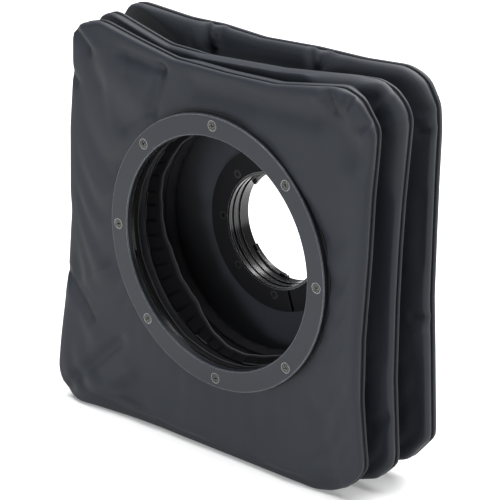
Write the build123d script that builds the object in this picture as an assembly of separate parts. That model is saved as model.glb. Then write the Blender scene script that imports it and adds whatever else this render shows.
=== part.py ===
from build123d import *
from math import cos, radians, sin
import os

# Bag bellows unit of a view camera: a large screwed front ring, three soft square lobes joined by two
# gathered necks, and a small bayonet mount at the rear.  Millimetres.  The origin is the centre of the
# front ring's bore where its straight wall starts, +Y runs through the bellows towards the rear mount, and +Z is up.

# ---- front ring and what it clamps ----
RING_BORE_R = 54.5
RING_W = 10.0
RING_T = 3.0
RING_EDGE = 0.4              # chamfer on the ring's front edges
RING_SCREWS = 8
RING_BOLT_IN = 4.5           # from the ring's outer edge to its screw circle
GASKET_T = 0.5
GASKET_LIP = 0.8             # how far the gasket shows outside the ring
BACKING_T = 2.0
WIRE_W = 1.2                 # radial width of the wire that holds the hem in the bore
WIRE_PROUD = 0.2             # how far the wire stands into the bore
WIRE_GAP_DEG = 4.0
WIRE_GAP_AT_DEG = 195.0

# ---- cloth ----
CLOTH_T = 1.0
LOBE_HALF_W = 93.0
LOBE_TOP = 94.0
LOBE_DROP = 99.0             # from the optical axis down to the surface the bellows stands on
CORNER_CUT = 17.0
WELT_W = 5.0                 # radial width of the stiffened rim of each lobe
WELT_T = 3.0
WELT_PROUD = 1.0             # the welt is the outermost part of its lobe
SLOPE_W = 16.0               # width of the sloping border of each lobe panel
NECK_IN = 1.0                # how much narrower than the ring's bore the necks are
NECK_TAPE_T = 2.5

# ---- places along the optical axis ----
SEAM_1_Y = 5.0               # front face of each lobe's welt
SEAM_2_Y = 19.5
SEAM_3_Y = 37.5
NECK_1_Y = 13.0              # front end of each neck tape
NECK_1_L = 3.5
NECK_2_Y = 27.0
NECK_2_L = 5.5

# ---- rear mount ----
CLAMP_Y = 39.8
CLAMP_T = 3.0
CLAMP_W = 10.65
CLAMP_SCREWS = 8
CLAMP_BOLT_IN = 3.5          # from the collar to the clamp ring's screw circle
CLAMP_SPLITS_DEG = (-72.0, 78.0)   # the clamp ring is cut in two at these angles
CLAMP_SPLIT_DEG = 2.4
FLANGE_T = 6.2
FLANGE_LIP = 2.3             # how far the flange stands outside the clamp ring
COLLAR_LIP = 0.8             # how far the collar stands in front of the clamp ring
MOUNT_BORE_R = 26.8
COLLAR_WALL = 1.2
GROOVE_DEPTH = 0.6
COLLAR_GROOVES = ((0.6, 2.4), (4.0, 6.6))    # each light-trap groove, from the clamp ring's front face
FACE_T = 2.0
FACE_W = 9.2
LUG_H = 1.4
LUG_T = 1.6
LUG_SET_IN = 0.3             # from the rear face to the lugs
LUG_SPAN_DEG = 50.0
LUG_AT_DEG = (0.0, 120.0, 240.0)
SPRING_T = 0.3
SPRING_SPAN_DEG = 36.0
STOP_PIN_R = 0.6
STOP_PIN_ROOT = 2.0          # how deep the stop pin is set in the face plate
STOP_PIN_AT_DEG = 268.0
FACE_SCREWS = 4
FACE_BOLT_IN = 5.2           # from the mount's bore to the face plate's screw circle
FACE_SCREW_START_DEG = 20.0
INDEX_DOT_R = 1.0
INDEX_DOT_T = 0.6
INDEX_DOT_AT_DEG = 80.0

# ---- lock pin and release tab ----
PIN_R = 1.2
PIN_AT_DEG = 112.5
PIN_IN = 4.2                 # from the mount's bore to the lock pin's centre
PIN_PROUD = 1.2
PIN_TRAVEL = 1.5
ARM_W = 5.0
ARM_T = 2.0
ARM_WALL = 1.0               # metal left round the lock pin at the arm's end
TAB_W = 9.0
TAB_REACH = 4.5              # how far the thumb tab stands outside the flange
TAB_H = 5.0
TAB_RISE = 0.8               # how far the tab stands behind its arm
TAB_ROOM = 1.0               # between the flange's edge and the tab
COIL_R = 0.95
COIL_WIRE_R = 0.18
COIL_TURNS = 4
COIL_SEAT = 0.6              # flange wall left in front of the coil spring

# ---- fasteners ----
M25_R, M25_HEAD_R, M25_HEAD_H, M25_L = 1.25, 2.35, 1.3, 6.2
M2_R, M2_HEAD_R, M2_HEAD_H, M2_L = 1.0, 1.9, 1.1, 6.0
RECESS_W = 0.55              # width of each bar of the cross recess
RECESS_D = 0.8

# ---- clearances ----
FIT = 0.05                   # round pieces in their own holes, within one body
RUN = 0.06                   # running fit of the lock pin in its hole
GAP = 0.3                    # between flat pieces that slide past each other

# ---- radii that follow from the sizes above ----
RING_OUTER_R = RING_BORE_R + RING_W
RING_BOLT_R = RING_OUTER_R - RING_BOLT_IN
NECK_R = RING_BORE_R - NECK_IN
COLLAR_OUTER_R = MOUNT_BORE_R + COLLAR_WALL
CLAMP_BORE_R = COLLAR_OUTER_R + FIT
CLAMP_OUTER_R = CLAMP_BORE_R + CLAMP_W
CLAMP_BOLT_R = COLLAR_OUTER_R + CLAMP_BOLT_IN
FLANGE_OUTER_R = CLAMP_OUTER_R + FLANGE_LIP
FACE_OUTER_R = MOUNT_BORE_R + FACE_W
FACE_BOLT_R = MOUNT_BORE_R + FACE_BOLT_IN
LUG_INNER_R = MOUNT_BORE_R - LUG_H
PIN_BOLT_R = MOUNT_BORE_R + PIN_IN

# ---- places along the axis that follow from the sizes above ----
RING_Y = -RING_EDGE
GASKET_Y = RING_Y + RING_T
FRONT_CLOTH_Y = GASKET_Y + GASKET_T
BACKING_Y = FRONT_CLOTH_Y + CLOTH_T
REAR_CLOTH_Y = CLAMP_Y + CLAMP_T
FLANGE_Y = REAR_CLOTH_Y + CLOTH_T
FACE_Y = FLANGE_Y + FLANGE_T
REAR_Y = FACE_Y + FACE_T


def tube(outer, inner, y0, y1):
    """A ring about the optical axis between two depths."""
    profile = Plane.XZ.offset(-y0) * (Circle(outer) - Circle(inner))
    return extrude(profile, amount=-(y1 - y0))


def rod(radius, at_r, at_deg, y0, y1):
    """A round bar parallel to the optical axis."""
    x, z = at_r * cos(radians(at_deg)), at_r * sin(radians(at_deg))
    return extrude(Plane.XZ.offset(-y0) * (Pos(x, z) * Circle(radius)), amount=-(y1 - y0))


def sector(outer, inner, mid_deg, span_deg, y0, y1):
    """A piece of a ring, centred on an angle."""
    start = mid_deg - span_deg / 2
    edges = [start, start + span_deg / 2, start + span_deg]
    ends = [(cos(radians(a)), sin(radians(a))) for a in edges]
    outline = Line((ends[0][0] * inner, ends[0][1] * inner), (ends[0][0] * outer, ends[0][1] * outer))
    outline += ThreePointArc(*[(c * outer, s * outer) for c, s in ends])
    outline += Line((ends[2][0] * outer, ends[2][1] * outer), (ends[2][0] * inner, ends[2][1] * inner))
    outline += ThreePointArc(*[(c * inner, s * inner) for c, s in reversed(ends)])
    return extrude(Plane.XZ.offset(-y0) * make_face(outline), amount=-(y1 - y0))


def square_outline(inset, y):
    """The lobe's outline, a square with cut corners, drawn smaller all round by an inset."""
    right, top, low = LOBE_HALF_W - inset, LOBE_TOP - inset, -(LOBE_DROP - inset)
    cut = CORNER_CUT - inset * (2 - 2 ** 0.5)
    points = [
        (right, low + cut), (right, top - cut), (right - cut, top), (cut - right, top),
        (-right, top - cut), (-right, low + cut), (cut - right, low), (right - cut, low),
    ]
    return Plane.XZ.offset(-y) * make_face(Polyline(*points, close=True))


def lobe_panel(flat_y, seam_y, hole_r):
    """One cloth face of a lobe: a flat middle at flat_y and a border that slopes to the seam at seam_y."""
    way = 1 if seam_y > flat_y else -1
    middle = square_outline(WELT_PROUD + SLOPE_W, flat_y)
    rim = square_outline(WELT_PROUD, seam_y)
    pad = loft([middle, rim])
    hollow = Pos(0, way * CLOTH_T, 0) * pad
    low, high = sorted((flat_y, seam_y))
    return pad - hollow - tube_core(hole_r, low - 1, high + 1)


def tube_core(radius, y0, y1):
    """A round bar on the optical axis."""
    return rod(radius, 0, 0, y0, y1)


def edge_welt(seam_y):
    """The doubled and piped rim that keeps a lobe square."""
    face = square_outline(0, seam_y) - square_outline(WELT_W, seam_y)
    return extrude(face, amount=-WELT_T)


def screw(head_r, head_h, shank_r, length, at_r, at_deg, face_y):
    """A countersunk cross-head screw, its head flush with the face at face_y."""
    head = Pos(0, 0, -head_h / 2) * Cone(shank_r, head_r, head_h)
    shank = Pos(0, 0, -(head_h + length) / 2) * Cylinder(shank_r, length - head_h)
    slot = Box(RECESS_W, head_r * 1.15, RECESS_D) + Box(head_r * 1.15, RECESS_W, RECESS_D)
    body = head + shank - Pos(0, 0, -RECESS_D / 2) * slot
    x, z = at_r * cos(radians(at_deg)), at_r * sin(radians(at_deg))
    return Pos(x, face_y, z) * Rot(90, 0, 0) * Rot(0, 0, at_deg) * body


def screw_hole(head_r, head_h, shank_r, length, at_r, at_deg, face_y):
    """What a screw needs cut away: its countersink and its shank hole, both a little larger."""
    head = Pos(0, 0, -head_h / 2) * Cone(shank_r + FIT, head_r + FIT, head_h)
    shank = Pos(0, 0, -length / 2) * Cylinder(shank_r + FIT, length)
    x, z = at_r * cos(radians(at_deg)), at_r * sin(radians(at_deg))
    return Pos(x, face_y, z) * Rot(90, 0, 0) * (head + shank)


def around(count, start=0.0):
    return [start + 360 * i / count for i in range(count)]


PARTS = {}

# ---- front ring, gasket, backing ring, wire and screws ----
ring_screw = (M25_HEAD_R, M25_HEAD_H, M25_R, M25_L, RING_BOLT_R)
ring_holes = [screw_hole(*ring_screw, a, RING_Y) for a in around(RING_SCREWS)]
ring = tube(RING_OUTER_R, RING_BORE_R, RING_Y, GASKET_Y)
front_edges = ring.edges().group_by(Axis.Y)[0]
ring = chamfer(front_edges, RING_EDGE)
PARTS["front_ring"] = ring - ring_holes

wire_outer = RING_BORE_R - WIRE_PROUD + WIRE_W
gasket = tube(RING_OUTER_R + GASKET_LIP, wire_outer + FIT, GASKET_Y, FRONT_CLOTH_Y)
PARTS["front_gasket"] = gasket - ring_holes
backing = tube(RING_OUTER_R, RING_BORE_R, BACKING_Y, BACKING_Y + BACKING_T)
PARTS["front_backing_ring"] = backing - ring_holes
PARTS["front_bore_wire"] = sector(
    wire_outer, wire_outer - WIRE_W, WIRE_GAP_AT_DEG + 180, 360 - WIRE_GAP_DEG, GASKET_Y, BACKING_Y
)
PARTS["front_ring_screws"] = Compound([screw(*ring_screw, a, RING_Y) for a in around(RING_SCREWS)])

# ---- three cloth lobes ----
front_hole = wire_outer + FIT
clamp_screw = (M2_HEAD_R, M2_HEAD_H, M2_R, M2_L, CLAMP_BOLT_R)
clamp_holes = [screw_hole(*clamp_screw, a, CLAMP_Y) for a in around(CLAMP_SCREWS)]
rear_hole = COLLAR_OUTER_R + GAP
lobes = [
    (FRONT_CLOTH_Y, SEAM_1_Y, NECK_1_Y, front_hole, NECK_R),
    (NECK_1_Y + NECK_1_L, SEAM_2_Y, NECK_2_Y, NECK_R, NECK_R),
    (NECK_2_Y + NECK_2_L, SEAM_3_Y, FLANGE_Y, NECK_R, rear_hole),
]
for number, (front_y, seam_y, rear_y, front_r, rear_r) in enumerate(lobes, 1):
    front_panel = lobe_panel(front_y, seam_y, front_r)
    rear_panel = lobe_panel(rear_y, seam_y + WELT_T, rear_r)
    PARTS[f"lobe_{number}_front_panel"] = front_panel - ring_holes if number == 1 else front_panel
    PARTS[f"lobe_{number}_rear_panel"] = rear_panel - clamp_holes if number == 3 else rear_panel
    PARTS[f"lobe_{number}_edge_welt"] = edge_welt(seam_y)

# ---- two gathered necks ----
for number, y, length in ((1, NECK_1_Y, NECK_1_L), (2, NECK_2_Y, NECK_2_L)):
    PARTS[f"neck_{number}_tape"] = tube(NECK_R + NECK_TAPE_T, NECK_R, y, y + length)

# ---- rear clamp ring in two pieces, and its screws ----
long_mid = sum(CLAMP_SPLITS_DEG) / 2
short_span = CLAMP_SPLITS_DEG[1] - CLAMP_SPLITS_DEG[0]
clamp_pieces = (
    ("rear_clamp_segment", long_mid, short_span - CLAMP_SPLIT_DEG),
    ("rear_clamp_ring", long_mid + 180, 360 - short_span - CLAMP_SPLIT_DEG),
)
for name, middle, span in clamp_pieces:
    PARTS[name] = sector(CLAMP_OUTER_R, CLAMP_BORE_R, middle, span, CLAMP_Y, REAR_CLOTH_Y) - clamp_holes
PARTS["rear_clamp_screws"] = Compound([screw(*clamp_screw, a, CLAMP_Y) for a in around(CLAMP_SCREWS)])


# ---- rear flange, with a slot for the release tab ----
def from_behind(solid):
    """Turns a screw or hole made at the front plane round to enter from the rear face."""
    return Pos(0, REAR_Y, 0) * Rot(180, 0, 0) * solid


def out_at(at_deg, solid):
    """Places a solid drawn along +X at an angle about the optical axis."""
    return Rot(0, -at_deg, 0) * solid


def block(x0, x1, y0, y1, width):
    """A bar along +X, centred on the X axis across its width."""
    return Pos((x0 + x1) / 2, (y0 + y1) / 2, 0) * Box(x1 - x0, y1 - y0, width)


face_screw = (M2_HEAD_R, M2_HEAD_H, M2_R, M2_L, FACE_BOLT_R)
face_angles = around(FACE_SCREWS, FACE_SCREW_START_DEG)
face_holes = [from_behind(screw_hole(*face_screw, a, 0)) for a in face_angles]
arm_rear_y = FACE_Y - GAP
arm_front_y = arm_rear_y - ARM_T
slot_y = arm_front_y - PIN_TRAVEL - GAP
arm_end_r = PIN_BOLT_R - PIN_R - ARM_WALL
slot = block(arm_end_r - GAP, FLANGE_OUTER_R + 1, slot_y, FACE_Y, ARM_W + 2 * GAP)
coil_room = rod(COIL_R + COIL_WIRE_R + GAP, PIN_BOLT_R, PIN_AT_DEG, FLANGE_Y + COIL_SEAT, slot_y)
pin_hole = rod(PIN_R + RUN, PIN_BOLT_R, PIN_AT_DEG, FACE_Y, REAR_Y)
flange = tube(FLANGE_OUTER_R, CLAMP_BORE_R, FLANGE_Y, FACE_Y)
PARTS["rear_flange"] = flange - clamp_holes - face_holes - out_at(PIN_AT_DEG, slot) - coil_room

# ---- bayonet ring: a stepped collar, the rear face plate and three lugs in one piece ----
collar = tube(COLLAR_OUTER_R, MOUNT_BORE_R, CLAMP_Y - COLLAR_LIP, FACE_Y)
face_plate = tube(FACE_OUTER_R, MOUNT_BORE_R, FACE_Y, REAR_Y)
groove_r = MOUNT_BORE_R + GROOVE_DEPTH
grooves = [
    tube(groove_r, MOUNT_BORE_R - 1, CLAMP_Y + start, CLAMP_Y + end) for start, end in COLLAR_GROOVES
]
lug_rear_y = REAR_Y - LUG_SET_IN
lug_front_y = lug_rear_y - LUG_T
bayonet = collar + face_plate - grooves
for angle in LUG_AT_DEG:
    bayonet += sector(MOUNT_BORE_R + FIT, LUG_INNER_R, angle, LUG_SPAN_DEG, lug_front_y, lug_rear_y)
stop_y = (lug_front_y + lug_rear_y) / 2


def stop_pin(radius, outer_r):
    """The short radial pin that ends the bayonet's turn."""
    bar = Rot(0, 90, 0) * Cylinder(radius, outer_r - LUG_INNER_R)
    return out_at(STOP_PIN_AT_DEG, Pos((outer_r + LUG_INNER_R) / 2, stop_y, 0) * bar)


dot_place = (FACE_OUTER_R + MOUNT_BORE_R) / 2, INDEX_DOT_AT_DEG
dot_hole = rod(INDEX_DOT_R + FIT, *dot_place, REAR_Y - INDEX_DOT_T, REAR_Y)
pin_root_r = MOUNT_BORE_R + STOP_PIN_ROOT
PARTS["rear_bayonet_ring"] = (
    bayonet - face_holes - pin_hole - dot_hole - stop_pin(STOP_PIN_R + FIT, pin_root_r + FIT)
)
PARTS["bayonet_stop_pin"] = stop_pin(STOP_PIN_R, pin_root_r)
PARTS["index_dot"] = rod(INDEX_DOT_R, *dot_place, REAR_Y - INDEX_DOT_T, REAR_Y)
PARTS["rear_face_screws"] = Compound([from_behind(screw(*face_screw, a, 0)) for a in face_angles])
spring_r = MOUNT_BORE_R - FIT
PARTS["bayonet_leaf_springs"] = Compound([
    sector(spring_r, LUG_INNER_R + GAP, a, SPRING_SPAN_DEG, lug_front_y - SPRING_T, lug_front_y)
    for a in LUG_AT_DEG
])

# ---- lock pin, its coil spring, and the tab that draws it forwards ----
PARTS["lock_pin"] = rod(PIN_R, PIN_BOLT_R, PIN_AT_DEG, arm_front_y, REAR_Y + PIN_PROUD)
tab_rear_y = arm_rear_y + TAB_RISE
tab_front_y = tab_rear_y - TAB_H
tab_inner_r, tab_outer_r = FLANGE_OUTER_R + TAB_ROOM, FLANGE_OUTER_R + TAB_REACH
arm = block(arm_end_r, (tab_inner_r + tab_outer_r) / 2, arm_front_y, arm_rear_y, ARM_W)
arm += block(tab_inner_r, tab_outer_r, tab_front_y, tab_rear_y, TAB_W)
pin_seat = rod(PIN_R + FIT, PIN_BOLT_R, PIN_AT_DEG, arm_front_y - 1, REAR_Y)
PARTS["release_tab"] = out_at(PIN_AT_DEG, arm) - pin_seat
coil_y0, coil_y1 = FLANGE_Y + COIL_SEAT + COIL_WIRE_R, arm_front_y - COIL_WIRE_R
coil_h = coil_y1 - coil_y0
path = Helix(pitch=coil_h / COIL_TURNS, height=coil_h, radius=COIL_R)
wire_end = Plane(origin=path @ 0, z_dir=path % 0)
coil = sweep(wire_end * Circle(COIL_WIRE_R), path=path)
pin_x, pin_z = PIN_BOLT_R * cos(radians(PIN_AT_DEG)), PIN_BOLT_R * sin(radians(PIN_AT_DEG))
PARTS["lock_pin_spring"] = Pos(pin_x, coil_y0, pin_z) * Rot(-90, 0, 0) * coil

# ---- files ----
os.makedirs("parts", exist_ok=True)
for name, shape in PARTS.items():
    export_step(shape, f"parts/{name}.step")
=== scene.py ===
import math

import bpy
import numpy as np
from mathutils import Matrix, Vector


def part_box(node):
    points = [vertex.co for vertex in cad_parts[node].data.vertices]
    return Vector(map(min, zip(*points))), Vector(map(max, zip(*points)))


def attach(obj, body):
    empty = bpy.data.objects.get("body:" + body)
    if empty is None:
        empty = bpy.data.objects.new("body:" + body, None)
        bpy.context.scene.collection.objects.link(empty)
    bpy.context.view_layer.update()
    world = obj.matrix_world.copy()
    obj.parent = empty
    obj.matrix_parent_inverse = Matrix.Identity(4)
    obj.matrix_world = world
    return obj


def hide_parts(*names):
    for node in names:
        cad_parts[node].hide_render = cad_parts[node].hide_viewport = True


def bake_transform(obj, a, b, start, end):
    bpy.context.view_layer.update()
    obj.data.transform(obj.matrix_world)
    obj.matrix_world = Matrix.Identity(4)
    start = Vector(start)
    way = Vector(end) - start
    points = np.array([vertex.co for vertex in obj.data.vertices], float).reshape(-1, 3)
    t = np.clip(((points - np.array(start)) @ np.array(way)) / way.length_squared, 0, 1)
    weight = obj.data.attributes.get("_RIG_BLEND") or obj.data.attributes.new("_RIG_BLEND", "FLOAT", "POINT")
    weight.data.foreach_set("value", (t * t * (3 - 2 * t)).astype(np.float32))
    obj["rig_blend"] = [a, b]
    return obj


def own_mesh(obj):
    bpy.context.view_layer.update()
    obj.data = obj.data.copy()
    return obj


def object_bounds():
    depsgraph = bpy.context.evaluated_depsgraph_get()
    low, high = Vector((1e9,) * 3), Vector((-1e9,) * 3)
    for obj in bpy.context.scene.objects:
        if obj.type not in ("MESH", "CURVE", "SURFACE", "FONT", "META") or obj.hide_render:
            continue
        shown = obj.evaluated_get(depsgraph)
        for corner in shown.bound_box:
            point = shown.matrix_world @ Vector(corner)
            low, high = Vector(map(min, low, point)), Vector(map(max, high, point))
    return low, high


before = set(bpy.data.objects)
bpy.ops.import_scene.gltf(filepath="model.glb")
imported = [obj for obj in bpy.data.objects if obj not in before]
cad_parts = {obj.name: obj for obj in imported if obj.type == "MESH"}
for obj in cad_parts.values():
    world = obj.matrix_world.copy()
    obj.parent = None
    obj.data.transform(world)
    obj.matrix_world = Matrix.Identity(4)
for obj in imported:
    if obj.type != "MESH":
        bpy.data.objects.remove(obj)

cad_low, cad_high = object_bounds()
MM = 0.001

# ---- Front ring ----
# A flat turned aluminium ring, black anodised, that clamps the bag's front cloth. Its edges are broken by a
# small chamfer that catches the light, lightened further by a painted highlight, and the face keeps a faint
# grain from the lathe. Painted shade darkens its outer wall and screw holes.


def node_group(name, inputs, outputs):
    """A shader node group with float inputs, each with its default, and the named outputs."""
    group = bpy.data.node_groups.new(name, "ShaderNodeTree")
    for label, default in inputs.items():
        socket = group.interface.new_socket(label, in_out="INPUT", socket_type="NodeSocketFloat")
        socket.default_value = default
    for label, kind in outputs.items():
        group.interface.new_socket(label, in_out="OUTPUT", socket_type=kind)
    return group, group.nodes.new("NodeGroupInput"), group.nodes.new("NodeGroupOutput")


def add_node(tree, kind, links=(), **settings):
    """Adds a node. Settings name its properties or input sockets; links are (socket, source) pairs."""
    node = tree.nodes.new(kind)
    for key, value in settings.items():
        if key in node.bl_rna.properties:
            setattr(node, key, value)
        else:
            node.inputs[key.replace("_", " ")].default_value = value
    for socket, source in links:
        tree.links.new(source, node.inputs[socket])
    return node


def build_edge_highlight():
    """Gives a mask that is 1 on sharp outer edges, where a painted highlight lightens the colour."""
    group, given, result = node_group(
        "painted_edge_highlight", {"Width": 0.0004, "Gain": 5.0}, {"Edge": "NodeSocketFloat"})
    soft = add_node(group, "ShaderNodeBevel", [("Radius", given.outputs["Width"])], samples=6)
    shape = add_node(group, "ShaderNodeNewGeometry")
    dot = add_node(group, "ShaderNodeVectorMath", operation="DOT_PRODUCT")
    group.links.new(soft.outputs["Normal"], dot.inputs[0])
    group.links.new(shape.outputs["Normal"], dot.inputs[1])
    lack = add_node(group, "ShaderNodeMath", [(1, dot.outputs["Value"])], operation="SUBTRACT")
    lack.inputs[0].default_value = 1.0
    gain = add_node(group, "ShaderNodeMath", [(0, lack.outputs[0]), (1, given.outputs["Gain"])],
                    operation="MULTIPLY", use_clamp=True)
    group.links.new(gain.outputs[0], result.inputs["Edge"])
    return group


def build_fine_grain():
    """Gives a slow tone change and a fine height, both from noise in the object's own space."""
    group, given, result = node_group(
        "fine_grain", {"Tone Scale": 40.0, "Grain Scale": 2500.0},
        {"Tone": "NodeSocketFloat", "Height": "NodeSocketFloat"})
    place = add_node(group, "ShaderNodeTexCoord")
    tone = add_node(group, "ShaderNodeTexNoise", [
        ("Vector", place.outputs["Object"]), ("Scale", given.outputs["Tone Scale"])], Detail=3.0)
    grain = add_node(group, "ShaderNodeTexNoise", [
        ("Vector", place.outputs["Object"]), ("Scale", given.outputs["Grain Scale"])], Detail=2.0)
    group.links.new(tone.outputs["Fac"], result.inputs["Tone"])
    group.links.new(grain.outputs["Fac"], result.inputs["Height"])
    return group


def build_painted_shade():
    """Gives a mask that is 1 down in recesses, found by ambient occlusion, where painted shade darkens the
    metal.
    """
    group, given, result = node_group(
        "painted_recess_shade", {"Depth": 0.001, "Gain": 1.9}, {"Shade": "NodeSocketFloat"})
    open_air = add_node(
        group, "ShaderNodeAmbientOcclusion", [("Distance", given.outputs["Depth"])], samples=8)
    lack = add_node(group, "ShaderNodeMath", [(1, open_air.outputs["AO"])], operation="SUBTRACT")
    lack.inputs[0].default_value = 1.0
    gain = add_node(group, "ShaderNodeMath", [(0, lack.outputs[0]), (1, given.outputs["Gain"])],
                    operation="MULTIPLY", use_clamp=True)
    group.links.new(gain.outputs[0], result.inputs["Shade"])
    return group


EDGE_HIGHLIGHT_MASK = build_edge_highlight()
PAINTED_SHADE = build_painted_shade()
FINE_GRAIN = build_fine_grain()


def shade_of(colour, share):
    """A colour made darker or lighter, as a node wants it."""
    return (*[min(1, channel * share) for channel in colour], 1)


def metal_finish(name, colour, painted_highlight, roughness, metallic, highlight_width=0.0004, recess=0.001, specular=0.5,
                 shade_gain=1.9):
    """A finished metal: two close tones of one colour, a fine grain, a painted highlight on its edges and
    painted shade in its recesses. recess is how wide a hollow still counts as one, and the last argument how
    dark that shade goes."""
    material = bpy.data.materials.new(name)
    material.use_nodes = True
    tree = material.node_tree
    shader = tree.nodes["Principled BSDF"]
    shader.inputs["Metallic"].default_value = metallic
    shader.inputs["Specular IOR Level"].default_value = specular
    grain_node = add_node(tree, "ShaderNodeGroup", node_tree=FINE_GRAIN)
    highlight_node = add_node(tree, "ShaderNodeGroup", node_tree=EDGE_HIGHLIGHT_MASK)
    highlight_node.inputs["Width"].default_value = highlight_width
    tone = add_node(tree, "ShaderNodeMix", [(0, grain_node.outputs["Tone"])], data_type="RGBA")
    tone.inputs[6].default_value = shade_of(colour, 0.82)
    tone.inputs[7].default_value = shade_of(colour, 1.15)
    # painted highlight: sharp edges are lightened towards the given highlight colour
    highlighted = add_node(tree, "ShaderNodeMix", [
        (0, highlight_node.outputs["Edge"]), (6, tone.outputs[2])], data_type="RGBA")
    highlighted.inputs[7].default_value = shade_of(painted_highlight, 1)
    # painted shade: recesses found by ambient occlusion are darkened towards near black
    shade_node = add_node(tree, "ShaderNodeGroup", node_tree=PAINTED_SHADE)
    shade_node.inputs["Depth"].default_value = recess
    shade_node.inputs["Gain"].default_value = shade_gain
    shaded = add_node(tree, "ShaderNodeMix", [
        (0, shade_node.outputs["Shade"]), (6, highlighted.outputs[2])], data_type="RGBA")
    shaded.inputs[7].default_value = shade_of(colour, 0.08)
    tree.links.new(shaded.outputs[2], shader.inputs["Base Color"])
    rough = add_node(tree, "ShaderNodeMapRange", [("Value", grain_node.outputs["Tone"])],
                     To_Min=roughness * 0.88, To_Max=roughness * 1.12)
    tree.links.new(rough.outputs[0], shader.inputs["Roughness"])
    bump = add_node(tree, "ShaderNodeBump", [("Height", grain_node.outputs["Height"])],
                    Strength=0.25, Distance=0.00004)
    tree.links.new(bump.outputs[0], shader.inputs["Normal"])
    return material


def finish_node(node, material):
    """Gives a CAD piece its finish."""
    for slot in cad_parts[node].material_slots:
        slot.material = material


RING_FINISH = metal_finish("ring_black_anodised", (0.0115, 0.0140, 0.0190), (0.42, 0.43, 0.45),
                           0.36, 0.30, recess=0.003, specular=0.4)
finish_node("front_ring", RING_FINISH)

# ---- Gasket, backing ring and bore wire ----
# A thin rubber gasket lies under the ring and just shows outside it; its black is made darker still, as
# painted shade in the gap outside the ring. The tapped backing ring is painted matt black, and a round
# spring wire holds the cloth's turned hem in the bore.
GASKET_FINISH = metal_finish("gasket_rubber", (0.006, 0.006, 0.006), (0.05, 0.05, 0.05),
                             0.6, 0.0, specular=0.3)
finish_node("front_gasket", GASKET_FINISH)
MATT_BLACK = metal_finish("matt_black_paint", (0.003, 0.003, 0.0035), (0.012, 0.012, 0.013),
                          0.6, 0.0, specular=0.15)
finish_node("front_backing_ring", MATT_BLACK)
WIRE_FINISH = metal_finish("blued_wire", (0.008, 0.008, 0.009), (0.3, 0.3, 0.3), 0.25, 0.5, 0.0001)
finish_node("front_bore_wire", WIRE_FINISH)

# ---- Ring screws ----
# Eight countersunk cross-head screws of nickel-plated steel clamp the ring to the backing ring. Painted
# shade darkens their crosses, and a painted highlight lightens their edges.
NICKEL = metal_finish("nickel_plate", (0.055, 0.055, 0.053), (0.80, 0.79, 0.77), 0.20, 1.0, 0.00010,
                      recess=0.003, shade_gain=4.0)
finish_node("front_ring_screws", NICKEL)

# ---- Three lobes ----
# Each lobe is two panels of rubberised black cloth sewn together round a square rim with cut corners. The
# rim rolls over on both sides to a turned hem, with a narrow sewn groove between the two hems. The cloth
# hangs a little slack.
AROUND = 360
FACE_ROWS = 32
ROLL_ROWS = 6
HEM_DEPTH = 2.4 * MM
CLOTH_T = 0.7 * MM
SETTLE_FRAMES = 18
FOOT_LEAN = 4.0 * MM

# the rim of each lobe, as its corners and the points of its sagging edges, in millimetres across and up
LOBE_RIMS = (
    ((83.5, -81), (82, -67), (80.5, -50), (81, -20), (82, -8), (84, 18), (85.5, 46), (87.3, 64),
     (88, 75.5), (79.5, 87), (70, 90.4), (32, 84.2), (3, 83.5), (-27, 84), (-49, 88), (-73, 93),
     (-85, 90), (-91, 84.5), (-92, 64), (-95, 39), (-96.5, 7), (-96, -3), (-98, -20), (-100, -40),
     (-103.5, -70), (-105, -86), (-101, -95), (-91, -99), (-61, -98.5), (-27, -99), (2, -99), (30, -99),
     (56, -99), (66, -96.5), (74.5, -92), (79.5, -87)),
    ((88.8, -79), (87, -42), (87.5, -5), (88.5, 19), (90, 42), (92, 64), (93.2, 77.5), (90.5, 83.5),
     (84.5, 89), (77, 91.6), (64, 90.9), (50, 89.2), (24, 86.2), (-23, 83.5), (-45, 84), (-61, 88),
     (-80, 93), (-87, 90), (-91, 83), (-92, 70), (-93, 30), (-95, -20), (-99, -70), (-98, -84),
     (-86, -97), (-50, -99), (0, -99), (46, -99), (60, -97.5), (70, -95), (79.5, -91.5), (88, -83)),
    ((94.5, -74), (93, -32), (92, -8), (92.5, 23), (93, 46), (93.8, 69), (93, 79.5), (87.5, 89),
     (82, 92), (76, 93.5), (53, 92), (26, 92), (-5, 90.5), (-30, 92), (-50, 91.5), (-80, 93.5),
     (-86, 92), (-91, 85), (-92, 60), (-92, 0), (-93, -60), (-94, -80), (-86, -94), (-74, -98),
     (-30, -99), (36, -99), (60, -95), (74, -91), (83, -87.5)),
)


def directions(count):
    """Evenly spaced directions round the optical axis."""
    return np.arange(count) * 2 * math.pi / count


def soft_step(value):
    """Goes from 0 to 1 as its value does, without a corner at either end."""
    value = np.clip(value, 0, 1)
    return value * value * (3 - 2 * value)


def between(angles, start, end, soft=10):
    """1 between two directions in degrees, counted from +X towards +Z, falling off softly outside them."""
    turned = np.degrees(angles) % 360
    return soft_step((turned - start) / soft + 0.5) * soft_step((end - turned) / soft + 0.5)


def rim_radius(rim, angles):
    """How far the rim is from the optical axis in each direction, its corners a little softened."""
    points = np.array(rim) * MM
    turned = np.arctan2(points[:, 1], points[:, 0])
    points = points[np.argsort(turned)]
    turned = np.sort(turned)
    radii = np.zeros(len(angles))
    for i, angle in enumerate(angles):
        across, up = math.cos(angle), math.sin(angle)
        k = np.searchsorted(turned, math.atan2(up, across)) % len(points)
        start, edge = points[k - 1], points[k] - points[k - 1]
        radii[i] = (start[0] * edge[1] - start[1] * edge[0]) / (across * edge[1] - up * edge[0])
    return (np.roll(radii, 1) + 2 * radii + np.roll(radii, -1)) / 4


def seam_lean(number, angles):
    """How far the rim leans along the bag: the front lobe's left foot is pushed out towards the front."""
    if number > 1:
        return np.zeros(len(angles))
    return -FOOT_LEAN * between(angles, 208, 236, 30)


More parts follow.
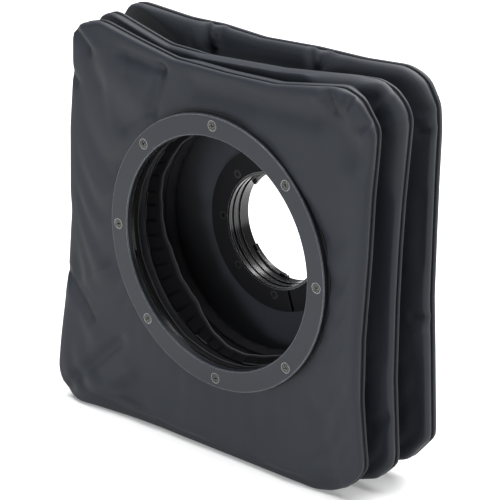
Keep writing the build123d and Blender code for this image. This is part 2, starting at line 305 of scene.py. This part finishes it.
def deselect_all():
    bpy.ops.object.select_all(action="DESELECT")


def make_active(piece):
    deselect_all()
    piece.select_set(True)
    bpy.context.view_layer.objects.active = piece


def cloth_ring(name, angles, rows):
    """A ring of cloth: a circle extruded row by row, each row laid at its radius and place along the bag."""
    deselect_all()
    bpy.ops.mesh.primitive_circle_add(vertices=len(angles), radius=1, fill_type="NOTHING")
    piece = bpy.context.object
    piece.name = name
    bpy.ops.object.mode_set(mode="EDIT")
    for _ in rows[1:]:
        bpy.ops.mesh.extrude_edges_move()
    bpy.ops.object.mode_set(mode="OBJECT")
    outward = np.stack([np.cos(angles), np.zeros(len(angles)), np.sin(angles)], axis=1)
    along = np.array((0, 1, 0))
    laid = [
        outward * np.broadcast_to(radius, len(angles))[:, None]
        + along * np.broadcast_to(place, len(angles))[:, None]
        for radius, place in rows]
    move_points(piece, np.concatenate(laid))
    return piece


def points_of(piece):
    return np.array([vertex.co for vertex in piece.data.vertices])


def move_points(piece, points):
    piece.data.vertices.foreach_set("co", points.astype(np.float32).ravel())
    piece.data.update()


def face_along(piece, wanted):
    """Turns the cloth over if its faces mostly point against the wanted direction at their place."""
    count = len(piece.data.polygons)
    normals, centres = np.zeros(count * 3), np.zeros(count * 3)
    piece.data.polygons.foreach_get("normal", normals)
    piece.data.polygons.foreach_get("center", centres)
    if (normals.reshape(-1, 3) * wanted(centres.reshape(-1, 3))).sum() < 0:
        make_active(piece)
        bpy.ops.object.mode_set(mode="EDIT")
        bpy.ops.mesh.select_all(action="SELECT")
        bpy.ops.mesh.flip_normals()
        bpy.ops.object.mode_set(mode="OBJECT")


def from_axis(centres):
    """The direction away from the optical axis at each place."""
    away = centres * np.array((1, 0, 1))
    return away / np.linalg.norm(away, axis=1, keepdims=True)


def slacken(piece, share, slack, pressure, cap):
    """Lets the cloth hang from its hole and its rim, cut a little larger than the frame it is sewn to. What
    the solver moves is smoothed over the neighbouring threads, so that only soft swells stay."""
    at_rest = points_of(piece)
    group = piece.vertex_groups.new(name="held")
    held = np.flatnonzero((share <= 0.02) | (share >= 0.96))
    group.add([int(i) for i in held], 1.0, "REPLACE")
    make_active(piece)
    cloth = piece.modifiers.new("Cloth", "CLOTH")
    settings = cloth.settings
    settings.quality = 5
    settings.mass = 0.25
    settings.tension_stiffness = settings.compression_stiffness = 25
    settings.shear_stiffness = 12
    settings.bending_stiffness = 2.0
    settings.vertex_group_mass = "held"
    settings.shrink_min = -slack
    settings.use_pressure = True
    settings.uniform_pressure_force = pressure
    cloth.collision_settings.use_collision = False
    cloth.collision_settings.use_self_collision = False
    cloth.point_cache.frame_end = SETTLE_FRAMES
    for step in range(1, SETTLE_FRAMES + 1):
        bpy.context.scene.frame_set(step)
    bpy.ops.object.modifier_apply(modifier="Cloth")
    bpy.context.scene.frame_set(1)
    moved = (points_of(piece) - at_rest).reshape(-1, AROUND, 3)
    for _ in range(8):
        moved = (np.roll(moved, 1, 1) + 2 * moved + np.roll(moved, -1, 1)) / 4
    moved = moved.reshape(-1, 3)
    length = np.linalg.norm(moved, axis=1, keepdims=True)
    moved *= np.minimum(1, cap / np.maximum(length, 1e-9))
    move_points(piece, at_rest + moved)
    piece.vertex_groups.clear()


def press_folds(piece, loose, folds):
    """Presses creases and hollows into the cloth where it is loose: each runs from one point to another,
    across and up in millimetres, with a half width and a height towards the front."""
    points = points_of(piece)
    flat = points[:, (0, 2)]
    lift = np.zeros(len(points))
    for x0, z0, x1, z1, width, height in folds:
        start, end = np.array((x0, z0)) * MM, np.array((x1, z1)) * MM
        line = end - start
        along = np.clip(((flat - start) @ line) / (line @ line), 0, 1)
        away = np.linalg.norm(flat - start - along[:, None] * line, axis=1) / (width * MM)
        lift += height * MM * np.exp(-away ** 2)
    points[:, 1] -= lift * loose
    move_points(piece, points)


def thicken(piece, thickness, outer, inner):
    """Gives the cloth its thickness, on the side away from its face, with its coating outside and its dull
    back inside, and smooths it."""
    make_active(piece)
    piece.data.materials.append(outer)
    piece.data.materials.append(inner)
    solid = piece.modifiers.new("Thickness", "SOLIDIFY")
    solid.thickness = thickness
    solid.offset = -1
    solid.material_offset = 1
    bpy.ops.object.modifier_apply(modifier="Thickness")
    bpy.ops.object.shade_smooth()


def mark_points(piece, name, values):
    """Writes a value at each point of the cloth, on its face and its back alike."""
    mark = piece.data.attributes.get(name) or piece.data.attributes.new(name, "FLOAT", "POINT")
    layers = len(piece.data.vertices) // len(values)
    mark.data.foreach_set("value", np.tile(values, layers).astype(np.float32))


def build_weave():
    """Gives the height of a plain weave seen through a thin rubber coating."""
    group, given, result = node_group("plain_weave", {"Threads": 2200.0}, {"Height": "NodeSocketFloat"})
    place = add_node(group, "ShaderNodeTexCoord")
    heights = []
    for direction in ("X", "Z"):
        wave = add_node(group, "ShaderNodeTexWave", [
            ("Vector", place.outputs["Object"]), ("Scale", given.outputs["Threads"])],
            bands_direction=direction, Distortion=0.4, Detail=1.0)
        heights.append(wave.outputs["Fac"])
    both = add_node(group, "ShaderNodeMath", [(0, heights[0]), (1, heights[1])], operation="MULTIPLY")
    group.links.new(both.outputs[0], result.inputs["Height"])
    return group


PLAIN_WEAVE = build_weave()


def coated_cloth(name, colour, roughness, specular, highlight_colour=(0.10, 0.10, 0.105), weave=0.10):
    """Rubberised cloth: matt, with slow changes of tone where it has been handled, its weave just showing,
    and a painted highlight on folded edges, as strong as the highlight point value says."""
    material = bpy.data.materials.new(name)
    material.use_nodes = True
    tree = material.node_tree
    shader = tree.nodes["Principled BSDF"]
    shader.inputs["Specular IOR Level"].default_value = specular
    grain = add_node(tree, "ShaderNodeGroup", node_tree=FINE_GRAIN)
    grain.inputs["Tone Scale"].default_value = 22.0
    grain.inputs["Grain Scale"].default_value = 3200.0
    tone = add_node(tree, "ShaderNodeMix", [(0, grain.outputs["Tone"])], data_type="RGBA")
    tone.inputs[6].default_value = shade_of(colour, 0.8)
    tone.inputs[7].default_value = shade_of(colour, 1.2)
    # painted highlight: a point value lightens the cloth towards the highlight colour
    painted_highlight = add_node(tree, "ShaderNodeAttribute", attribute_name="painted_highlight")
    edge = add_node(tree, "ShaderNodeMix", [
        (0, painted_highlight.outputs["Fac"]), (6, tone.outputs[2])], data_type="RGBA")
    edge.inputs[7].default_value = shade_of(highlight_colour, 1)
    tree.links.new(edge.outputs[2], shader.inputs["Base Color"])
    rough = add_node(tree, "ShaderNodeMapRange", [("Value", grain.outputs["Tone"])],
                     To_Min=roughness * 0.9, To_Max=roughness * 1.1)
    tree.links.new(rough.outputs[0], shader.inputs["Roughness"])
    threads = add_node(tree, "ShaderNodeGroup", node_tree=PLAIN_WEAVE)
    height = add_node(tree, "ShaderNodeMath", [
        (0, threads.outputs["Height"]), (1, grain.outputs["Height"])], operation="ADD")
    bump = add_node(tree, "ShaderNodeBump", [("Height", height.outputs[0])],
                    Strength=weave, Distance=0.0001)
    tree.links.new(bump.outputs[0], shader.inputs["Normal"])
    return material


CLOTH = coated_cloth("rubberised_cloth", (0.0180, 0.0205, 0.0252), 0.50, 0.17)
CLOTH_BACK = coated_cloth("cloth_back", (0.040, 0.041, 0.047), 0.8, 0.1)

front_cloth_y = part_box("lobe_1_front_panel")[0].y
neck_1_low, neck_1_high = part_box("neck_1_tape")
neck_2_low, neck_2_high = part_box("neck_2_tape")
rear_cloth_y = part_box("rear_clamp_ring")[1].y + 0.9 * MM
FRONT_HOLE_R = 56.5 * MM
NECK_HOLE_R = neck_1_high.x - 0.5 * MM
REAR_HOLE_R = 29.5 * MM

# lobes 1 and 2 bulge against each other along the middle of their top edges, between these directions
TOP_BULGE = (50, 106)
BULGE_DRAW = 0.55
BULGE_FOLLOW = 0.3
SWELL_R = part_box("front_ring")[1].x + 0.6 * MM
# how much of a fold the stitched hem holds back, and how much of the roll a tight stitch takes up
HEM_HOLD = 0.55
PINCH_HOLD = 0.65
# how strongly a painted highlight lightens the rolled edge along its length, and at the top corners
ROLL_HIGHLIGHT, CORNER_HIGHLIGHT = 0.12, 0.40
# the turned hem in the groove, as steps in from the rim and back from the seam
HEM_STEPS = ((0.2 * MM, 0.45 * MM), (0.6 * MM, 0.7 * MM), (HEM_DEPTH, 0.75 * MM))
# the cloth is cut this much larger than its frame, and no point may then move further than this
CUT_SLACK = 0.008
SAG_CAP = 1.8 * MM


def lobe_panel(number, side, bodies, hole, roll, folds, bulge=0, closed=0, slope=(0, 0, 0), swell=0,
               pinches=(), level=0):
    """One face of a lobe, laid row by row from its round hole out to its rim, rolled over there and turned
    into the sewn groove. roll is how far the roll reaches in from the rim, and how far along the bag. Along
    the top, bulge adds to the second, a full bulge tightens the first, and closed draws the hems together.
    slope widens the roll between two directions, swell puffs the face out round the front ring, and pinches
    are directions where a stitch holds the roll down. Out to the radius level the cloth stays flat."""
    way = 1 if side == "front" else -1
    welt_low, welt_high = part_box(f"lobe_{number}_edge_welt")
    angles = directions(AROUND)
    rim = rim_radius(LOBE_RIMS[number - 1], angles)
    meeting = between(angles, *TOP_BULGE)
    roll_in, roll_reach = roll
    sloped = slope[2] * between(angles, slope[0], slope[1])
    roll_in = roll_in * (1 - BULGE_DRAW * meeting * (bulge > MM)) + sloped
    reach = roll_reach + bulge * meeting + 0.12 * sloped
    for direction in pinches:
        reach = reach * (1 - PINCH_HOLD * between(angles, direction - 1.5, direction + 1.5, 5))
    seam_y = (welt_low.y if way == 1 else welt_high.y) + way * closed * meeting + seam_lean(number, angles)
    face_y = seam_y - way * reach
    rows, shares, follows, slacks, highlight_rows = [], [], [], [], []
    # the rolled edge carries a painted highlight, strongest at the top corners
    top_corners = between(angles, 34, 58, 14) + between(angles, 128, 142, 14)
    highlight_share = ROLL_HIGHLIGHT + (CORNER_HIGHLIGHT - ROLL_HIGHLIGHT) * top_corners
    hole_r, hole_y = hole
    flat_r = max(level, hole_r)
    for share in np.linspace(0, 1, FACE_ROWS):
        radius = hole_r + (rim - roll_in - hole_r) * share
        puff = swell * soft_step((radius - SWELL_R) / (4 * MM)) * (1 - share ** 3)
        climb = soft_step((radius - flat_r) / (rim - roll_in - flat_r))
        rows.append((radius, hole_y + (face_y - hole_y) * climb - way * puff))
        shares.append(np.full(AROUND, share))
        slacks.append(np.full(AROUND, soft_step(share / 0.10)))
        follows.append(soft_step(share) * (1 - (1 - BULGE_FOLLOW) * meeting * (bulge > 0)))
        highlight_rows.append(np.zeros(AROUND))
    for step in range(1, ROLL_ROWS + 1):
        turn = math.pi / 2 * step / ROLL_ROWS
        rows.append((rim - roll_in * (1 - math.sin(turn)), face_y + way * reach * (1 - math.cos(turn))))
        shares.append(np.full(AROUND, 1.0))
        slacks.append(np.full(AROUND, 1 - HEM_HOLD * step / ROLL_ROWS))
        follows.append(1 - (1 - BULGE_FOLLOW) * meeting * (bulge > 0) * (1 - step / ROLL_ROWS))
        highlight_rows.append(highlight_share * (step / ROLL_ROWS) ** 4)
    for inset, back in HEM_STEPS:
        rows.append((rim - inset, seam_y + way * back))
        shares.append(np.full(AROUND, 1.0))
        slacks.append(np.full(AROUND, 1 - HEM_HOLD))
        follows.append(np.ones(AROUND))
        highlight_rows.append(np.zeros(AROUND))
    share = np.concatenate(shares)
    follow = np.concatenate(follows)
    piece = cloth_ring(f"lobe_{number}_{side}_cloth", angles, rows)
    face_along(piece, lambda centres: np.array((0, -way, 0)))
    slacken(piece, share, CUT_SLACK, 0.35 * way, SAG_CAP)
    press_folds(piece, np.concatenate(slacks), folds)
    thicken(piece, CLOTH_T, CLOTH, CLOTH_BACK)
    mark_points(piece, "painted_highlight", np.concatenate(highlight_rows))
    # the weights run out from the hole to the rim, so they are written over the straight ones
    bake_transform(piece, *bodies, start=(0, hole_y, 0), end=(0, hole_y + way * 10 * MM, 0))
    mark_points(piece, "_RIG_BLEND", follow if way == 1 else 1 - follow)
    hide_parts(f"lobe_{number}_{side}_panel")


# creases and hollows: from, to, half width and height towards the front, in millimetres
FRONT_CLOTH_FOLDS = (
    (-89, 87, -80, 78, 1.7, -2.0), (-85, 90, -75, 82, 3.0, 1.0), (-80, 77, -73, 64, 4.0, -0.8),
    (-59, 81, -34, 78, 3.0, -1.7), (-34, 78, -39, 57, 3.0, -1.7), (-56, 80, -54, 72, 1.6, -0.8),
    (-64, 72, -47, 62, 11, 1.7), (-58, 47, -41, 60, 4.0, -1.4), (-93, 68, -88, 61, 1.7, -1.4),
    (-100, -32, -81, -54, 1.5, -1.6), (-96, -44, -80, -62, 4.0, 0.9), (-90, -40, -71, -27, 4.0, 1.3),
    (-100, -95, -64, -61, 3.0, -2.0), (-94, -101, -58, -74, 4.5, 1.3), (-40, -88, 40, -90, 7, 1.0),
    (62, 88, 66, 80, 1.6, -2.2), (57, 83, 61, 87, 1.6, 1.4), (68, 90, 70, 83, 1.5, 1.4),
    (64, 76, 74, 66, 7, -1.7), (72, 92, 68, 83, 1.3, 1.4), (80, 88, 74, 79, 1.4, 1.4),
    (76, 87, 70, 79, 1.4, -1.2), (89, 76, 81, 72, 1.4, 1.4), (87, 81, 79, 75, 1.4, -1.1),
    (-14, 74, 54, 75, 6, -1.9), (79, 52, 77, -40, 6, 1.0), (58, -62, 66, -90, 6, -1.3),
    (20, -82, 44, -72, 7, -0.9), (83, -86, 75, -90, 2.4, 1.0), (-30, -74, -60, -84, 6, -0.7),
)
MIDDLE_CLOTH_FOLDS = (
    (79, 92, 76, 83, 1.9, -1.6), (85, 88, 80, 80, 1.7, 1.3), (82, 90, 78, 83, 1.6, -0.9),
    (92, 77, 84, 73, 1.7, 1.3), (70, 90, 66, 82, 2.4, 1.2), (78, 40, 80, -30, 6, -0.9),
    (85, -60, 76, -67, 3.4, -1.4),
)
REAR_CLOTH_FOLDS = (
    (-37, 93, -33, 78, 2.0, -2.6), (-27, 93, -32, 79, 2.0, -2.6), (-32, 93, -32, 84, 2.2, 2.0),
    (-44, 90, -41, 80, 4.0, 1.2), (24, 93, 29, 82, 1.9, -2.3), (35, 93, 31, 83, 1.9, -2.3),
    (30, 93, 30, 86, 2.0, 1.8), (41, 90, 39, 84, 3.6, 1.0), (-24, 83, 18, 83, 6, -2.4),
    (44, 84, 76, 82, 6, -1.0), (95, 79, 86, 77, 1.7, -1.4), (95, 70, 87, 68, 1.7, -1.4),
    (92, -16, 85, -17, 1.8, -1.3), (92, -21, 86, -24, 1.8, 0.8), (88, 40, 88, 10, 4, -0.8),
    (86, -40, 87, -66, 5, -1.0),
)
# the rear cloth is pushed in behind the release tab, to leave it room
TAB_HOLLOW = ((-20, 40, -13, 47, 9, 2.2),)
# with the least bulge a panel keeps its shape, but its cloth gives way along the top as bulged cloth does
TOUCHING = 0.01 * MM

lobe_panel(1, "front", ("front_mount", "lobe_1"), (FRONT_HOLE_R, front_cloth_y + 0.1 * MM),
           (3.2 * MM, 2.0 * MM), FRONT_CLOTH_FOLDS, swell=1.5 * MM, slope=(52, 76, 5 * MM))
lobe_panel(1, "rear", ("lobe_1", "neck_1"), (NECK_HOLE_R, neck_1_low.y + 0.8 * MM),
           (3.2 * MM, 1.3 * MM), (), bulge=3.4 * MM, pinches=(330, 354), level=66 * MM)
lobe_panel(2, "front", ("neck_1", "lobe_2"), (NECK_HOLE_R, neck_1_high.y),
           (2.2 * MM, 2.2 * MM), MIDDLE_CLOTH_FOLDS, bulge=2.6 * MM, closed=1.2 * MM,
           slope=(28, 62, 9 * MM))
lobe_panel(2, "rear", ("lobe_2", "neck_2"), (NECK_HOLE_R, neck_2_low.y),
           (3.2 * MM, 1.5 * MM), (), bulge=TOUCHING, closed=1.2 * MM)
lobe_panel(3, "front", ("neck_2", "lobe_3"), (NECK_HOLE_R, neck_2_high.y),
           (2.0 * MM, 2.7 * MM), REAR_CLOTH_FOLDS, slope=(40, 126, 13 * MM))
lobe_panel(3, "rear", ("lobe_3", "rear_mount"), (REAR_HOLE_R, rear_cloth_y),
           (4.2 * MM, 3.2 * MM), TAB_HOLLOW)

# ---- Seam welts ----
# A strip of thin black cloth is folded into a U and sewn between the two hems of each lobe. Only its rounded
# back shows, at the bottom of the groove.
WELT_CLOTH = coated_cloth("welt_cloth", (0.010, 0.010, 0.011), 0.7, 0.2)
WELT_SINK = 1.1 * MM
WELT_LEG = 3.6 * MM
WELT_T = 0.5 * MM
WELT_PLAY = 0.25 * MM

for number, rim_points in enumerate(LOBE_RIMS, start=1):
    seam_low, seam_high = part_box(f"lobe_{number}_edge_welt")
    angles = directions(AROUND)
    back = rim_radius(rim_points, angles) - WELT_SINK
    lean = seam_lean(number, angles)
    front_y, rear_y = seam_low.y + WELT_PLAY + lean, seam_high.y - WELT_PLAY + lean
    middle_y = (front_y + rear_y) / 2
    welt = cloth_ring(f"lobe_{number}_welt", angles, (
        (back - WELT_LEG, front_y), (back - 0.5 * WELT_LEG, front_y), (back - 0.4 * MM, front_y),
        (back - 0.1 * MM, front_y + 0.4 * MM), (back, middle_y), (back - 0.1 * MM, rear_y - 0.4 * MM),
        (back - 0.4 * MM, rear_y), (back - 0.5 * WELT_LEG, rear_y), (back - WELT_LEG, rear_y)))
    face_along(welt, from_axis)
    thicken(welt, WELT_T, WELT_CLOTH, WELT_CLOTH)
    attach(welt, f"lobe_{number}")
    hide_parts(f"lobe_{number}_edge_welt")

# ---- Front hem ----
# The edge of the front cloth's hole is turned back over the bore wire. Its cut edge waves a little inside
# the bore, where it shows behind the ring.
HEM_CLOTH = coated_cloth("hem_cloth", (0.003, 0.003, 0.0035), 0.6, 0.1, highlight_colour=(0.04, 0.04, 0.045))
HEM_AROUND = 240
HEM_T = 0.4 * MM
# how strongly a painted highlight lightens each row of the hem, from the clamped end to the cut edge
HEM_HIGHLIGHT = (0, 0, 0, 0, 0.2, 1, 1, 0.4)
backing_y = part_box("front_backing_ring")[1].y
hem_angles = directions(HEM_AROUND)
hem_wave = 0.45 * np.sin(7 * hem_angles + 0.6) + 0.3 * np.sin(17 * hem_angles + 2.1)
hem_edge_y = backing_y + (1.1 + 0.6 * hem_wave) * MM
hem_r = 54.6 * MM
hem = cloth_ring("front_hem", hem_angles, (
    (hem_r + 4.6 * MM, backing_y + 0.3 * MM), (hem_r + 2.4 * MM, backing_y + 0.3 * MM),
    (hem_r + 0.5 * MM, backing_y + 0.35 * MM), (hem_r, backing_y + 0.8 * MM),
    (hem_r - 0.1 * MM, hem_edge_y - 0.4 * MM), (hem_r - 0.35 * MM, hem_edge_y - 0.1 * MM),
    (hem_r - 0.3 * MM, hem_edge_y + 0.2 * MM), (hem_r + 0.2 * MM, hem_edge_y + 0.3 * MM)))
face_along(hem, lambda centres: -from_axis(centres))
thicken(hem, HEM_T, HEM_CLOTH, HEM_CLOTH)
mark_points(hem, "painted_highlight", np.repeat(HEM_HIGHLIGHT, HEM_AROUND))
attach(hem, "front_mount")

# ---- Neck bands ----
# Lobes 1 and 2 are sewn together through a band whose front margin is cut into tabs, so that it lies round
# the hole; its rear edge is folded over and lit by a painted highlight. Lobes 2 and 3 meet in a plain
# gathered band. Both bands are darkened as painted shade inside the bag.
TABS = 46
TAB_COLUMNS = 5
TAB_GAP = 0.022
SLIT_ROWS = 5
BAND_ROWS = 8
BAND_T = 0.4 * MM
tab_draw = np.random.default_rng(11)
tab_widths = 1 + tab_draw.uniform(-0.16, 0.16, TABS)
tab_starts = np.concatenate([[0], np.cumsum(tab_widths)[:-1]]) / tab_widths.sum()
column_share = np.linspace(0, 1 - TAB_GAP, TAB_COLUMNS)
tab_turns = tab_starts[:, None] + column_share * (tab_widths / tab_widths.sum())[:, None]
band_angles = (tab_turns * 2 * math.pi).ravel()
band_low_y, band_high_y = neck_1_low.y - 0.2 * MM, neck_1_high.y + 1.6 * MM
band_turn = np.degrees(band_angles) % 360
droop = soft_step((band_turn - 148) / 56) * soft_step((262 - band_turn) / 34)
fold_wave = 0.5 * np.sin(5 * band_angles + 1.0) + 0.35 * np.sin(13 * band_angles)
fold_wave = fold_wave + 0.2 * np.sin(31 * band_angles + 2)
tab_lift = np.repeat(tab_draw.uniform(-0.35, 0.25, TABS), TAB_COLUMNS)
band_front_r = neck_1_high.x - 0.35 * MM
fold_r = neck_1_high.x - (2.6 + 6.4 * droop + 0.35 * fold_wave) * MM
fold_y = band_high_y + (0.6 * fold_wave + 0.5 * droop) * MM
band_rows = []
for share in np.linspace(0, 1, BAND_ROWS):
    lift = tab_lift * MM * (1 - share) ** 1.5
    band_rows.append((band_front_r + (fold_r - band_front_r) * share ** 1.4 + lift,
                      band_low_y + (fold_y - band_low_y) * share))
band_rows.append((fold_r - 0.35 * MM, fold_y + 0.35 * MM))
band_rows.append((fold_r - 0.1 * MM, fold_y + 0.75 * MM))
band_rows.append((fold_r + 1.2 * MM, fold_y + 0.7 * MM))
band = cloth_ring("neck_1_band", band_angles, band_rows)
face_along(band, lambda centres: -from_axis(centres))
make_active(band)
bpy.ops.object.mode_set(mode="EDIT")
bpy.ops.mesh.select_all(action="DESELECT")
bpy.ops.mesh.select_mode(type="FACE")
bpy.ops.object.mode_set(mode="OBJECT")
for face in band.data.polygons:
    columns = sorted({index % len(band_angles) for index in face.vertices})
    row = min(index // len(band_angles) for index in face.vertices)
    after_last_tab = columns[0] == 0 and columns[-1] > TAB_COLUMNS
    at_slit = columns[0] % TAB_COLUMNS == TAB_COLUMNS - 1 or after_last_tab
    face.select = at_slit and row < SLIT_ROWS
bpy.ops.object.mode_set(mode="EDIT")
bpy.ops.mesh.delete(type="FACE")
bpy.ops.object.mode_set(mode="OBJECT")
# painted highlight along the folded rear edge
fold_highlight = (0,) * (BAND_ROWS - 1) + (0.25, 1, 0.5, 0)
mark_points(band, "painted_highlight", np.repeat(fold_highlight, len(band_angles)))
# near black cloth as painted shade inside the bag
NECK_CLOTH = coated_cloth("neck_cloth", (0.0035, 0.0035, 0.004), 0.7, 0.05, highlight_colour=(0.075, 0.075, 0.08))
thicken(band, BAND_T, NECK_CLOTH, NECK_CLOTH)
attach(band, "neck_1")
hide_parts("neck_1_tape")

GATHER_AROUND = 360
GATHER_ROWS = 12
GATHER_T = 0.5 * MM
gather_angles = directions(GATHER_AROUND)
gather_size = 0.6 + 0.4 * np.sin(3 * gather_angles + 1)
gathers = np.sin(40 * gather_angles) * gather_size + 0.4 * np.sin(23 * gather_angles)
gather_low_y, gather_high_y = neck_2_low.y - 1.2 * MM, neck_2_high.y + 1.2 * MM
gather_rows = []
for share in np.linspace(0, 1, GATHER_ROWS):
    waist = math.sin(math.pi * share)
    radius = neck_2_high.x - (0.3 + 2.0 * waist + 0.35 * gathers * (0.3 + 0.7 * waist)) * MM
    gather_rows.append((radius, gather_low_y + (gather_high_y - gather_low_y) * share))
gathered = cloth_ring("neck_2_band", gather_angles, gather_rows)
face_along(gathered, lambda centres: -from_axis(centres))
# darker than the lobes' cloth, as painted shade inside the bag
GATHER_CLOTH = coated_cloth("gathered_cloth", (0.014, 0.014, 0.016), 0.8, 0.08)
thicken(gathered, GATHER_T, GATHER_CLOTH, GATHER_CLOTH)
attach(gathered, "neck_2")
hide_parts("neck_2_tape")

# ---- Rear mount ----
# A matt painted clamp ring and its segment hold the rear cloth to an anodised flange, with blacked screws.
# The bayonet ring on the flange is semi-gloss black, with plain steel springs and pins, and a dot of red
# enamel to line a lens up by. Every metal here has a painted highlight on its edges and painted shade in its
# recesses.
for node in ("rear_clamp_ring", "rear_clamp_segment"):
    finish_node(node, MATT_BLACK)
BLACKED_STEEL = metal_finish("blacked_steel", (0.012, 0.012, 0.013), (0.16, 0.16, 0.16),
                             0.35, 0.6, 0.00015)
finish_node("rear_clamp_screws", BLACKED_STEEL)
SEMI_GLOSS = metal_finish("bayonet_black", (0.008, 0.008, 0.009), (0.30, 0.30, 0.31), 0.22, 0.2, 0.00025)
finish_node("rear_bayonet_ring", SEMI_GLOSS)
finish_node("rear_flange", RING_FINISH)
finish_node("release_tab", RING_FINISH)
STEEL = metal_finish("spring_steel", (0.5, 0.5, 0.5), (0.8, 0.8, 0.8), 0.3, 1.0)
for node in ("bayonet_leaf_springs", "bayonet_stop_pin", "lock_pin"):
    finish_node(node, STEEL)
finish_node("rear_face_screws", NICKEL)
DOT_ENAMEL = metal_finish("dot_enamel", (0.5, 0.03, 0.02), (0.5, 0.1, 0.1), 0.3, 0.0)
finish_node("index_dot", DOT_ENAMEL)

# ---- Lock pin coil ----
# A small coil of steel wire round the foot of the lock pin, its front end in the flange. The pin presses it
# together when the release tab is pulled; here the coil is held fixed to the rear mount and keeps its
# length.
coil_low, coil_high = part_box("lock_pin_spring")
COIL_WIRE_R = 0.17 * MM
COIL_TURNS = 4
COIL_STEPS = 112
COIL_SIDES = 8
wire_angles = directions(COIL_SIDES)
coil_r = (coil_high.x - coil_low.x) / 2 - COIL_WIRE_R
coil = cloth_ring("lock_pin_coil", wire_angles, [(1, 0)] * COIL_STEPS)
coil_points = []
for share in np.linspace(0, 1, COIL_STEPS):
    turn = 2 * math.pi * COIL_TURNS * share
    reach = coil_r + COIL_WIRE_R * np.cos(wire_angles)
    climb = coil_low.y + COIL_WIRE_R + (coil_high.y - coil_low.y - 2 * COIL_WIRE_R) * share
    coil_points.append(np.stack([
        (coil_low.x + coil_high.x) / 2 + reach * math.cos(turn), climb + COIL_WIRE_R * np.sin(wire_angles),
        (coil_low.z + coil_high.z) / 2 + reach * math.sin(turn)], axis=1))
move_points(coil, np.concatenate(coil_points))
make_active(coil)
bpy.ops.object.mode_set(mode="EDIT")
bpy.ops.mesh.select_all(action="SELECT")
bpy.ops.mesh.normals_make_consistent(inside=False)
bpy.ops.object.mode_set(mode="OBJECT")
bpy.ops.object.shade_smooth()
coil.data.materials.append(STEEL)
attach(coil, "rear_mount")
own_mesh(coil)
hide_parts("lock_pin_spring")

# ---- Studio ----
# The bag stands on a pale paper floor, under a large soft light from above and a weak cool one in front of
# it, low at the left. The camera looks down on it from the front right.
FLOOR_SIZE = 30
FLOOR_GAP = 0.2 * MM
deselect_all()
bpy.ops.mesh.primitive_plane_add(size=FLOOR_SIZE, location=(0, 0, cad_low.z - FLOOR_GAP))
floor = bpy.context.object
floor.name = "studio_floor"
paper = bpy.data.materials.new("studio_paper")
paper.use_nodes = True
paper_shader = paper.node_tree.nodes["Principled BSDF"]
paper_shader.inputs["Base Color"].default_value = (0.60, 0.60, 0.60, 1)
paper_shader.inputs["Emission Color"].default_value = (1, 1, 1, 1)
paper_shader.inputs["Emission Strength"].default_value = 0.25
paper_shader.inputs["Roughness"].default_value = 0.9
floor.data.materials.append(paper)

world = bpy.data.worlds.new("studio_air")
bpy.context.scene.world = world
world.use_nodes = True
world.node_tree.nodes["Background"].inputs["Color"].default_value = (1, 1, 1, 1)
world.node_tree.nodes["Background"].inputs["Strength"].default_value = 0.19
bpy.context.scene.view_settings.view_transform = "Standard"


def soft_box(name, place, size, power, colour=(1, 1, 1)):
    """A square soft light that points at the middle of the bag."""
    bpy.ops.object.light_add(type="AREA", location=place)
    lamp = bpy.context.object
    lamp.name = name
    lamp.data.shape = "SQUARE"
    lamp.data.size = size
    lamp.data.energy = power
    lamp.data.color = colour
    lamp.rotation_euler = (-Vector(place)).to_track_quat("-Z", "Y").to_euler()


soft_box("top_light", (0.15, 0.25, 1.6), 2.0, 120)
soft_box("front_light", (-0.3, -1.5, 0.08), 0.6, 11, colour=(0.84, 0.88, 1.0))

CAMERA_AZIMUTH = math.radians(42.403)
CAMERA_ELEVATION = math.radians(21.083)
CAMERA_ROLL = math.radians(-0.391)
CAMERA_DISTANCE = 1.02096
CAMERA_AIM = Vector((21.55, 0, 7.63)) * MM
CAMERA_SENSOR = 36
CAMERA_LENS = 168.264
toward = Vector((
    math.sin(CAMERA_AZIMUTH) * math.cos(CAMERA_ELEVATION),
    -math.cos(CAMERA_AZIMUTH) * math.cos(CAMERA_ELEVATION),
    math.sin(CAMERA_ELEVATION)))
bpy.ops.object.camera_add(location=CAMERA_AIM + toward * CAMERA_DISTANCE)
camera = bpy.context.object
camera.name = "studio_camera"
turned = toward.to_track_quat("Z", "Y").to_matrix() @ Matrix.Rotation(CAMERA_ROLL, 3, "Z")
camera.rotation_euler = turned.to_euler()
camera.data.sensor_width = CAMERA_SENSOR
camera.data.lens = CAMERA_LENS
bpy.context.scene.camera = camera
